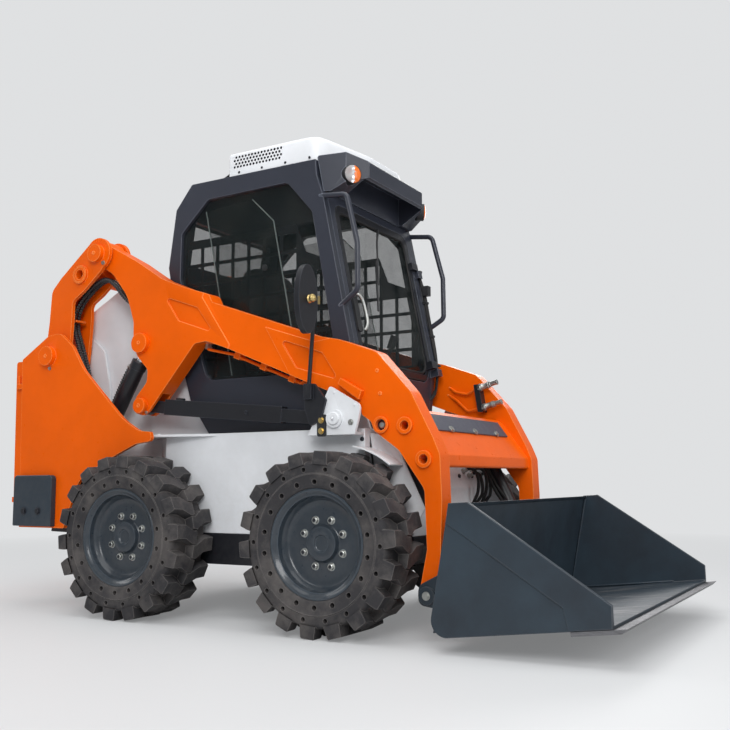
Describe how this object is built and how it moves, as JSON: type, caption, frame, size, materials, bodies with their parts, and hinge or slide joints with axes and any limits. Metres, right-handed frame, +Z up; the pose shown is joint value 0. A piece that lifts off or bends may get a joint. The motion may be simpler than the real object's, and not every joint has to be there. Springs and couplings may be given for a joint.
{
  "type": "skid steer loader",
  "caption": "Wheeled skid steer loader with a vertical-lift arm, a closed cab with a front door, a rear engine bay and a wide smooth-edged bucket on the arm.",
  "frame": {"origin": "on the ground under the middle of the machine's length and width", "axes": "+X forwards to the bucket, +Y to the machine's left, +Z up"},
  "size_m": [3.2997, 1.67, 2.2761],
  "materials": {
    "tyre_rubber": "matt",
    "rim_slate": "satin",
    "orange_paint": "gloss",
    "white_paint": "gloss",
    "slate_paint": "satin",
    "black_paint": "satin",
    "weight_grey": "satin",
    "plate_grey": "satin",
    "bucket_paint": "satin",
    "edge_steel": "worn",
    "chrome_rod": "polished",
    "zinc": "satin",
    "clear_glass": "polished",
    "lamp_glass": "polished",
    "black_plastic": "matt",
    "seat_vinyl": "matt",
    "engine_iron": "cast",
    "hose_rubber": "matt"
  },
  "bodies": {
    "chassis": {"hull": "white_paint", "underframe": "black_paint", "front_fenders": "white_paint", "axle_tubes": "black_paint", "towers": "orange_paint", "counterweights": "weight_grey", "link_brackets": "white_paint", "engine_cover": "white_paint", "engine_grille": "black_paint", "engine": "engine_iron", "cab_sides": "slate_paint", "cab_shell": "slate_paint", "cab_front": "slate_paint", "side_guards": "black_paint", "cab_controls": "black_plastic", "mirror": "black_plastic", "visor": "slate_paint", "roof_unit": "white_paint", "side_glass": "clear_glass", "rear_glass": "clear_glass", "front_lamps": "lamp_glass", "grab_handles": "black_paint", "seat_cushion": "seat_vinyl", "seat_back": "seat_vinyl", "seat_base": "black_plastic"},
    "rear_link": {"rear_link_left": "orange_paint", "rear_link_right": "orange_paint", "link_cross_tube": "orange_paint", "link_hoses": "hose_rubber"},
    "boom": {"boom_left": "orange_paint", "boom_right": "orange_paint", "boom_crossbeam": "orange_paint", "beam_plate": "plate_grey", "quick_couplers": "zinc", "boom_fittings": "orange_paint", "arm_pipes": "orange_paint", "boom_hoses": "hose_rubber"},
    "control_link_pair": {"control_links": "black_paint"},
    "lift_barrel_pair": {"lift_barrels": "black_paint"},
    "lift_rod_pair": {"lift_rods": "chrome_rod"},
    "bucket_body": {"bucket": "bucket_paint", "cutting_edge": "edge_steel", "attachment_frame": "bucket_paint"},
    "tilt_barrel_pair": {"tilt_barrels": "black_paint"},
    "tilt_rod_pair": {"tilt_rods": "chrome_rod"},
    "door_body": {"cab_door": "black_paint", "door_glass": "clear_glass"},
    "tail_door_body": {"tail_door": "orange_paint"},
    "wheel_front_left": {"tyre_front_left": "tyre_rubber", "rim_front_left": "rim_slate"},
    "wheel_front_right": {"tyre_front_right": "tyre_rubber", "rim_front_right": "rim_slate"},
    "wheel_rear_left": {"tyre_rear_left": "tyre_rubber", "rim_rear_left": "rim_slate"},
    "wheel_rear_right": {"tyre_rear_right": "tyre_rubber", "rim_rear_right": "rim_slate"}
  },
  "joints": [
    {"name": "wheel_front_left_spin", "type": "hinge", "parent": "chassis", "child": "wheel_front_left", "pos_m": [0.38, 0.675, 0.38], "axis": [0, 1, 0], "continuous": true},
    {"name": "wheel_front_right_spin", "type": "hinge", "parent": "chassis", "child": "wheel_front_right", "pos_m": [0.38, -0.675, 0.38], "axis": [0, 1, 0], "continuous": true},
    {"name": "wheel_rear_left_spin", "type": "hinge", "parent": "chassis", "child": "wheel_rear_left", "pos_m": [-0.72, 0.675, 0.38], "axis": [0, 1, 0], "continuous": true},
    {"name": "wheel_rear_right_spin", "type": "hinge", "parent": "chassis", "child": "wheel_rear_right", "pos_m": [-0.72, -0.675, 0.38], "axis": [0, 1, 0], "continuous": true},
    {"name": "boom_lift", "type": "hinge", "parent": "rear_link", "child": "boom", "pos_m": [-1.084, 0, 1.814], "axis": [0, -1, 0], "range_deg": [0, 49.59]},
    {"name": "rear_link_swing", "type": "hinge", "parent": "chassis", "child": "rear_link", "pos_m": [-1.363, 0, 1.29], "axis": [0, -1, 0], "range_deg": [0, 14.36]},
    {"name": "control_link_swing", "type": "hinge", "parent": "chassis", "child": "control_link_pair", "pos_m": [0.368, 0, 0.902], "axis": [0, 1, 0], "range_deg": [0, 45]},
    {"name": "lift_barrel_swing", "type": "hinge", "parent": "chassis", "child": "lift_barrel_pair", "pos_m": [-1.225, 0, 0.6], "axis": [0, -1, 0], "range_deg": [0, 7.62]},
    {"name": "lift_rod_slide", "type": "slide", "parent": "lift_barrel_pair", "child": "lift_rod_pair", "axis": [0.5168, 0, 0.8561], "range_m": [0, 0.591]},
    {"name": "bucket_tilt", "type": "hinge", "parent": "boom", "child": "bucket_body", "pos_m": [0.795, 0, 0.178], "axis": [0, 1, 0], "range_deg": [-15, 105]},
    {"name": "tilt_barrel_swing", "type": "hinge", "parent": "boom", "child": "tilt_barrel_pair", "pos_m": [0.581, 0, 0.869], "axis": [0, -1, 0], "range_deg": [-0.03, 0.19]},
    {"name": "tilt_rod_slide", "type": "slide", "parent": "tilt_barrel_pair", "child": "tilt_rod_pair", "axis": [0.4364, 0, -0.8997], "range_m": [-0.0427, 0.2986]},
    {"name": "cab_door_swing", "type": "hinge", "parent": "chassis", "child": "door_body", "pos_m": [0.3015, 0.4, 1.56071], "axis": [-0.2007, 0, 0.9797], "range_deg": [0, 85]},
    {"name": "tail_door_swing", "type": "hinge", "parent": "chassis", "child": "tail_door_body", "pos_m": [-1.61, 0.64, 0.88], "axis": [0, 0, -1], "range_deg": [0, 95]}
  ],
  "couplings": [
    {"joint": "rear_link_swing", "follows": "boom_lift", "ratio": 0.28957},
    {"joint": "control_link_swing", "follows": "boom_lift", "ratio": 0.90744},
    {"joint": "lift_barrel_swing", "follows": "boom_lift", "ratio": 0.15366},
    {"joint": "lift_rod_slide", "follows": "boom_lift", "m_per_rad": 0.6828},
    {"joint": "tilt_barrel_swing", "follows": "bucket_tilt", "ratio": 0.0018},
    {"joint": "tilt_rod_slide", "follows": "bucket_tilt", "m_per_rad": 0.1629}
  ]
}
